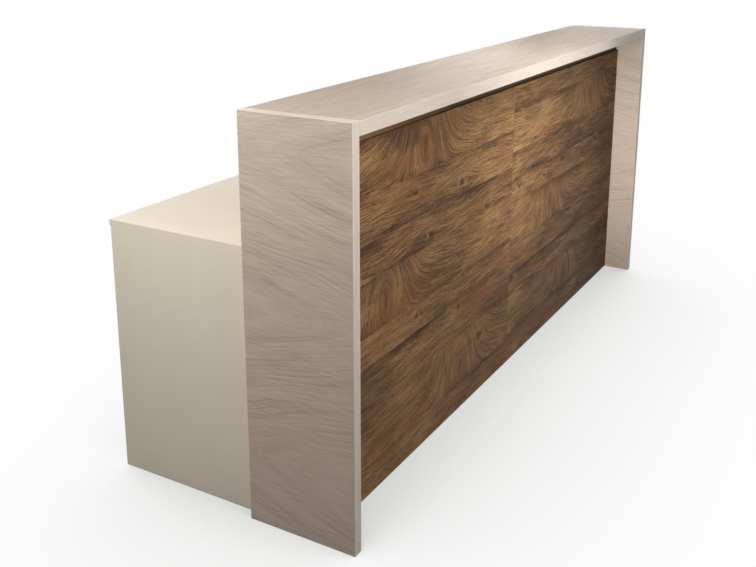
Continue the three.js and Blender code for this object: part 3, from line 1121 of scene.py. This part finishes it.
class DESK_OT_feet(bpy.types.Operator):
    """Make the levelling feet, each a knurled disc on a threaded stem"""

    bl_idname = "desk.feet"
    bl_label = "Levelling feet"

    def execute(self, context):
        sizes = context.scene.desk_sizes
        for node in nodes_named("foot_", "foot_insert_"):
            low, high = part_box(node)
            radius = (high.x - low.x) / 2
            profile = self.profile(low.z, high.z, radius, sizes)
            place = middle_of(node)
            placed = Matrix.Translation((place.x, place.y, 0))
            mesh = turned_mesh(node, profile, ROUND_STEPS, placed, zinc_finish(), self.knurl)
            new_piece(f"{node}_turned", mesh, node, "zinc_steel", node)
        return {"FINISHED"}

    def profile(self, low, high, radius, sizes):
        edge, pitch = sizes.fitting_radius, sizes.thread_pitch
        top = low + FOOT_DISC
        root = STEM_RADIUS - sizes.thread_depth
        points = [(0, low), (radius - edge, low), (radius, low + edge), (radius, top - edge),
                  (radius - edge, top), (root, top)]
        for turn in range(int((high - top) / pitch)):
            start = top + turn * pitch
            heights = [start + pitch * share for share in (0.1, 0.5, 0.9)]
            points += zip((root, STEM_RADIUS, root), heights)
        return [*points, (root, high), (0, high)]

    def knurl(self, index, radius, angle):
        """Dents the disc's rim all round."""
        dents = ROUND_STEPS / 2
        at_rim = index in (2, 3)
        return radius * (1 - KNURL_SHARE + KNURL_SHARE * math.cos(dents * angle)) if at_rim else radius


class DESK_OT_bolts(bpy.types.Operator):
    """Make the domed socket bolts that hold the side panels to the end panels"""

    bl_idname = "desk.bolts"
    bl_label = "Side bolts"

    def execute(self, context):
        edge = context.scene.desk_sizes.fitting_radius
        for node in nodes_named("side_bolt_"):
            low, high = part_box(node)
            place = middle_of(node)
            left = place.x < 0
            face = high.x - BOLT_HEAD if left else low.x + BOLT_HEAD
            profile = self.profile(high.x - low.x - BOLT_HEAD, (high.y - low.y) / 2, edge)
            turn = Matrix.Rotation(math.pi / 2 if left else -math.pi / 2, 4, "Y")
            placed = Matrix.Translation((face, place.y, place.z)) @ turn
            self.socket = (len(profile) - 3, len(profile) - 2)
            mesh = turned_mesh(node, profile, ROUND_STEPS, placed, zinc_finish(), self.hexagon)
            new_piece(f"{node}_turned", mesh, ROOT, "zinc_steel", node)
        return {"FINISHED"}

    def profile(self, shank, radius, edge):
        """From the shank's end to the head's dome and the floor of its socket."""
        lip = BOLT_HEAD * 0.3
        points = [(0, -shank), (BOLT_RADIUS - edge, -shank), (BOLT_RADIUS, edge - shank), (BOLT_RADIUS, 0),
                  (radius - edge / 2, 0), (radius, edge / 2)]
        for step in range(BEND_STEPS + 1):
            angle = math.pi / 2 * step / BEND_STEPS
            out = SOCKET_ACROSS + (radius - SOCKET_ACROSS) * math.cos(angle)
            points.append((out, lip + (BOLT_HEAD - lip) * math.sin(angle)))
        floor = BOLT_HEAD - SOCKET_DEPTH
        return [*points, (SOCKET_ACROSS / 2, BOLT_HEAD), (SOCKET_ACROSS / 2, floor), (0, floor)]

    def hexagon(self, index, radius, angle):
        """Makes the socket six-sided."""
        if index not in self.socket:
            return radius
        return radius / math.cos(math.fmod(angle, math.pi / 3) - math.pi / 6)


class DESK_OT_brackets(bpy.types.Operator):
    """Make the folded angle brackets with a rib pressed into each bend"""

    bl_idname = "desk.brackets"
    bl_label = "Angle brackets"

    def execute(self, context):
        for node in nodes_named("shelf_bracket_") + nodes_named("worktop_bracket_"):
            mesh = self.bracket(node, *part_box(node), context.scene.desk_sizes)
            new_piece(f"{node}_folded", mesh, ROOT, "zinc_steel", node)
        return {"FINISHED"}

    def bracket(self, node, low, high, sizes):
        path = ((low.y, low.z), (low.y, high.z), (high.y, high.z))
        built = drawn_along_x(folded_sheet(path, BRACKET_SHEET, sizes.bend_radius), low.x, high.x)
        free = [edge for edge in built.edges if self.at_free_corner(edge, low, high)]
        bmesh.ops.bevel(built, geom=free, offset=sizes.corner_radius, segments=BEND_STEPS, profile=0.5,
                        affect="EDGES")
        leg = (high.z - low.z) / 2
        start = Vector(((low.x + high.x) / 2, low.y + BRACKET_SHEET, high.z - leg))
        end = start + Vector((0, leg - BRACKET_SHEET, leg - BRACKET_SHEET))
        turn = (end - start).to_track_quat("Z", "Y").to_matrix().to_4x4()
        bmesh.ops.create_cone(
            built, cap_ends=True, segments=RIB_STEPS, radius1=sizes.rib_radius, radius2=sizes.rib_radius,
            depth=(end - start).length, matrix=Matrix.Translation((start + end) / 2) @ turn,
        )
        return closed_mesh(node, built, (zinc_finish(),), SHARP_ANGLE)

    def at_free_corner(self, edge, low, high):
        """Whether an edge runs through the sheet's thickness at the free end of a leg."""
        first, second = (vert.co for vert in edge.verts)
        if abs(first.x - second.x) > TOLERANCE or edge.calc_length() > BRACKET_SHEET * 1.01:
            return False
        at_low = max(first.z, second.z) < low.z + TOLERANCE
        at_back = min(first.y, second.y) > high.y - TOLERANCE
        return at_low or at_back


class DESK_OT_grommets(bpy.types.Operator):
    """Make the cable grommets' rings and their notched caps"""

    bl_idname = "desk.grommets"
    bl_label = "Cable grommets"

    def execute(self, context):
        sizes = context.scene.desk_sizes
        plastic = coated("grommet_plastic", tuple(context.scene.desk_colours.cream_plastic), 0.36, 0.0006)
        for side in SIDES:
            ring, cap = f"grommet_ring_{side}", f"grommet_cap_{side}"
            place = middle_of(ring)
            placed = Matrix.Translation((place.x, place.y, 0))
            profile = self.ring_profile(*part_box(ring), sizes.fitting_radius)
            mesh = turned_mesh(ring, profile, GROMMET_STEPS, placed, plastic)
            new_piece(f"{ring}_moulded", mesh, ROOT, "cream_plastic", ring)
            mesh = self.cap(cap, *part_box(cap), sizes, plastic)
            new_piece(f"{cap}_moulded", mesh, cap, "cream_plastic", cap)
        return {"FINISHED"}

    def ring_profile(self, low, high, edge):
        flange = (high.x - low.x) / 2
        liner = flange - RING_FLANGE - FIT
        bore = liner - RING_WALL
        seat = bore + CAP_LEDGE
        ledge = high.z - CAP_THICKNESS
        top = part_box("worktop")[1].z
        crown = (high.z - top) * 0.7
        return [
            (bore, low.z + edge), (bore + edge, low.z), (liner - edge, low.z), (liner, low.z + edge),
            (liner, top), (flange - edge / 2, top), (flange, top + edge / 2),
            *quarter_round((flange - crown, high.z - crown), crown, 0, 90),
            (seat + edge, high.z), (seat, high.z - edge), (seat, ledge),
            (bore + edge / 2, ledge), (bore, ledge - edge / 2),
        ]

    def cap(self, node, low, high, sizes, finish):
        """A disc with a round-cornered notch for cables on its front side."""
        radius = (high.x - low.x) / 2
        middle = (low + high) / 2
        corner, half = sizes.notch_corner, NOTCH_WIDTH / 2
        mouth = math.asin(half / radius)
        inner = NOTCH_DEPTH - radius
        outline = []
        sweep = 2 * (math.pi - mouth)
        for step in range(GROMMET_STEPS + 1):
            angle = mouth - math.pi / 2 + sweep * step / GROMMET_STEPS
            outline.append((radius * math.cos(angle), radius * math.sin(angle)))
        outline += quarter_round((corner - half, inner - corner), corner, 180, 90)
        outline += quarter_round((half - corner, inner - corner), corner, 90, 0)
        built = bmesh.new()
        centre_y = high.y - radius
        layers = [
            [built.verts.new((middle.x + x, centre_y + y, z)) for x, y in outline] for z in (low.z, high.z)
        ]
        for index in range(len(outline)):
            near = (layers[0][index - 1], layers[0][index])
            built.faces.new((*near, layers[1][index], layers[1][index - 1]))
        rims = [built.faces.new(layer) for layer in layers]
        rim_edges = [edge for face in rims for edge in face.edges]
        bmesh.ops.bevel(built, geom=rim_edges, offset=sizes.fitting_radius, segments=2, profile=0.5,
                        affect="EDGES")
        return closed_mesh(node, built, (finish,), 30)


class DESK_OT_cable_trays(bpy.types.Operator):
    """Make the folded cable trays with a row of slots in their floors"""

    bl_idname = "desk.cable_trays"
    bl_label = "Cable trays"

    def execute(self, context):
        sizes = context.scene.desk_sizes
        coat = coated("tray_coat", tuple(context.scene.desk_colours.tray), 0.5, 0.0009)
        tree = slot_tree()
        for side in SIDES:
            node = f"cable_tray_{side}"
            low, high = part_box(node)
            path = ((low.y, high.z), (low.y, low.z), (high.y, low.z), (high.y, low.z + TRAY_LIP))
            section = folded_sheet(path, TRAY_SHEET, sizes.bend_radius)
            blank = closed_mesh(node, drawn_along_x(section, low.x, high.x), (), SHARP_ANGLE)
            run = high.x - low.x - 2 * sizes.slot_pitch
            mesh = grown_mesh(node, blank, tree, {
                "Start": (low.x + sizes.slot_pitch, (low.y + high.y) / 2, low.z),
                "Run": run,
                "Pitch": sizes.slot_pitch,
                "Slot Length": sizes.slot_length,
                "Slot Width": sizes.slot_width,
                "Depth": TRAY_SHEET * 4,
                "Finish": coat,
            })
            new_piece(f"{node}_folded", mesh, ROOT, "grey_steel", node)
        return {"FINISHED"}


class DESK_OT_screws(bpy.types.Operator):
    """Make the wood screws that hold the brackets and the cable trays"""

    bl_idname = "desk.screws"
    bl_label = "Wood screws"

    def execute(self, context):
        sizes = context.scene.desk_sizes
        places = self.bracket_places(sizes) + self.tray_places(sizes)
        mesh = bpy.data.meshes.new("screw_places")
        mesh.from_pydata([place for place, _ in places], [], [])
        facing = mesh.attributes.new("facing", "FLOAT_VECTOR", "POINT")
        for value, (_, way) in zip(facing.data, places):
            value.vector = way
        values = {"Radius": sizes.screw_radius, "Rise": sizes.screw_rise, "Finish": zinc_finish()}
        new_piece("wood_screws", grown_mesh("wood_screws", mesh, screw_tree(), values), ROOT, "zinc_steel")
        return {"FINISHED"}

    def bracket_places(self, sizes):
        """Two screws in each leg of each bracket, with the way that their heads face."""
        places = []
        for node in nodes_named("shelf_bracket_") + nodes_named("worktop_bracket_"):
            low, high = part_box(node)
            for x in (low.x + sizes.screw_inset, high.x - sizes.screw_inset):
                upright = (x, low.y + BRACKET_SHEET, low.z + sizes.screw_inset)
                lying = (x, high.y - sizes.screw_inset, high.z - BRACKET_SHEET)
                places += [(upright, (0, 1, 0)), (lying, (0, 0, -1))]
        return places

    def tray_places(self, sizes):
        """A row of screws along the top of each tray's back."""
        places = []
        for node in nodes_named("cable_tray_"):
            low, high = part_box(node)
            first, last = low.x + sizes.slot_pitch, high.x - sizes.slot_pitch
            for step in range(TRAY_SCREW_GAPS + 1):
                x = first + (last - first) * step / TRAY_SCREW_GAPS
                places.append(((x, low.y + TRAY_SHEET, high.z - sizes.screw_inset), (0, 1, 0)))
        return places


class DESK_OT_hidden_fittings(bpy.types.Operator):
    """Give the dowels and the threaded inserts, which keep the frame's shapes, their finishes"""

    bl_idname = "desk.hidden_fittings"
    bl_label = "Dowels and inserts"

    def execute(self, context):
        beech = tuple(context.scene.desk_colours.beech)
        wood = straight_wood("beech_dowel", beech, dimmed(beech, 0.75))
        self.dress(nodes_named("shelf_dowel_"), wood, "beech")
        self.dress(nodes_named("foot_insert_"), zinc_finish(), "zinc_steel")
        return {"FINISHED"}

    def dress(self, nodes, finish, slot):
        for node in nodes:
            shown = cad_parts[node]
            shown.data.materials.clear()
            shown.data.materials.append(finish)


# Stage


class DESK_OT_stage(bpy.types.Operator):
    """Make the floor, the lamps, the even light and the camera"""

    bl_idname = "desk.stage"
    bl_label = "Stage"

    def execute(self, context):
        settings = context.scene.desk_stage
        self.floor()
        self.lamps(settings)
        self.world(settings)
        self.camera(settings)
        context.scene.view_settings.view_transform = "Standard"
        return {"FINISHED"}

    def floor(self):
        reach, below = 40.0, -0.0002
        corners = ((-reach, -reach), (reach, -reach), (reach, reach), (-reach, reach))
        mesh = bpy.data.meshes.new("floor")
        mesh.from_pydata([(x, y, below) for x, y in corners], [], [(0, 1, 2, 3)])
        mesh.materials.append(self.floor_finish())
        linked_object("floor", mesh)

    def floor_finish(self):
        """White to the eye, with a soft shadow round the desk, and dull grey in the light it throws back."""
        made = Finish("studio_floor")
        tree = made.tree
        seen = tree.node("ShaderNodeLightPath").outputs
        direct = tree.most(seen["Is Camera Ray"], seen["Is Glossy Ray"], seen["Is Transmission Ray"])
        near = tree.node("ShaderNodeAmbientOcclusion", {"Distance": 1.1}, samples=16)
        shadow, paler = linear(206, 206, 205), linear(239, 239, 238)
        shade = tree.ramp(near.outputs["AO"], ((0.40, shadow), (0.62, paler), (0.97, (1.0, 1.0, 1.0))))
        white = tree.node("ShaderNodeEmission", {"Color": shade, "Strength": 1.0}).outputs[0]
        dull = tree.node("ShaderNodeBsdfDiffuse", {"Color": (0.2, 0.195, 0.19, 1.0)}).outputs[0]
        joined = tree.node("ShaderNodeMixShader", {0: direct, 1: dull, 2: white}).outputs[0]
        tree.plug(made.material.node_tree.nodes["Material Output"].inputs["Surface"], joined)
        made.material.node_tree.nodes.remove(made.shader)
        return made.material

    def lamps(self, settings):
        """Each lamp's place, aim, size and spread in degrees. Its power is the setting of that name."""
        rows = {
            "corner": ((-1.2, -1.4, 1.6), (-1.0, -0.35, 0.7), (0.8, 0.5), 180),
            "counter": ((0.0, -0.9, 1.9), (0.1, -0.4, 1.0), (0.4, 0.3), 70),
            "front": ((0.15, -1.15, 1.95), (0.1, -0.4, 0.95), (1.0, 0.3), 100),
            "edge": ((0.05, -0.95, 1.16), (0.05, -0.4, 1.075), (1.3, 0.05), 25),
            "end": ((-2.0, 0.0, 1.7), (-1.2, -0.1, 0.8), (0.6, 0.6), 180),
            "side": ((-2.3, 0.45, 1.2), (-1.2, 0.1, 0.6), (0.6, 0.6), 180),
            "top": ((-0.2, 0.2, 2.7), (0.0, 0.0, 0.7), (2.6, 1.2), 180),
            "back": ((0.0, 1.7, 1.5), (0.0, 0.2, 0.6), (2.0, 0.8), 180),
            "right": ((2.6, 0.0, 1.05), (1.2, 0.0, 0.6), (1.0, 0.8), 180),
            "recess": ((-0.8, -0.62, 0.8), (1.17, -0.36, 0.56), (0.15, 0.6), 50),
            "sheen": ((2.7, 1.15, 1.56), (0.0, -0.2, 1.09), (0.7, 0.3), 180),
            "far": ((1.2, 0.1, 2.3), (1.0, -0.2, 1.0), (0.8, 0.6), 120),
        }
        for name, (place, aim, size, spread) in rows.items():
            data = bpy.data.lights.new(f"{name}_lamp", "AREA")
            data.shape = "RECTANGLE"
            data.size, data.size_y = size
            data.spread = math.radians(spread)
            data.energy = getattr(settings, f"{name}_light")
            lamp = linked_object(data.name, data)
            lamp.location = place
            lamp.rotation_euler = (Vector(aim) - Vector(place)).to_track_quat("-Z", "Y").to_euler()
            lamp.visible_camera = False

    def world(self, settings):
        world = bpy.data.worlds.new("studio")
        world.use_nodes = True
        tree = Tree(world.node_tree)
        seen = tree.node("ShaderNodeLightPath").outputs
        direct = tree.most(seen["Is Camera Ray"], seen["Is Transmission Ray"])
        back = world.node_tree.nodes["Background"]
        tree.plug(back.inputs["Color"], (1.0, 1.0, 1.0, 1.0))
        tree.plug(back.inputs["Strength"], tree.blend(direct, settings.world_light, 1.0))
        bpy.context.scene.world = world

    def camera(self, settings):
        data = bpy.data.cameras.new("camera")
        data.sensor_width = 36.0
        data.lens = settings.lens
        data.shift_y = settings.shift
        camera = linked_object("camera", data)
        camera.location = settings.camera_place
        camera.rotation_euler = (math.pi / 2 - settings.camera_pitch, 0.0, -settings.camera_yaw)
        bpy.context.scene.camera = camera


class DESK_PT_pieces(bpy.types.Panel):
    """Lists the operators that make the desk"""

    bl_label = "Reception desk"
    bl_space_type = "VIEW_3D"
    bl_region_type = "UI"
    bl_category = "Desk"

    def draw(self, context):
        for operator in OPERATORS:
            self.layout.operator(operator.bl_idname)


OPERATORS = (
    DESK_OT_counter_frame, DESK_OT_front, DESK_OT_work_desk, DESK_OT_feet, DESK_OT_bolts, DESK_OT_brackets,
    DESK_OT_grommets, DESK_OT_cable_trays, DESK_OT_screws, DESK_OT_hidden_fittings, DESK_OT_stage,
)
GROUPS = {"desk_sizes": DeskSizes, "desk_colours": DeskColours, "desk_stage": StageSettings}


def register():
    for name, group in GROUPS.items():
        bpy.utils.register_class(group)
        setattr(bpy.types.Scene, name, PointerProperty(type=group))
    for shown in (*OPERATORS, DESK_PT_pieces):
        bpy.utils.register_class(shown)


def unregister():
    for shown in (DESK_PT_pieces, *reversed(OPERATORS)):
        bpy.utils.unregister_class(shown)
    for name, group in GROUPS.items():
        delattr(bpy.types.Scene, name)
        bpy.utils.unregister_class(group)


def main():
    register()
    for operator in OPERATORS:
        getattr(bpy.ops.desk, operator.bl_idname.removeprefix("desk."))()


if __name__ == "__main__":
    main()
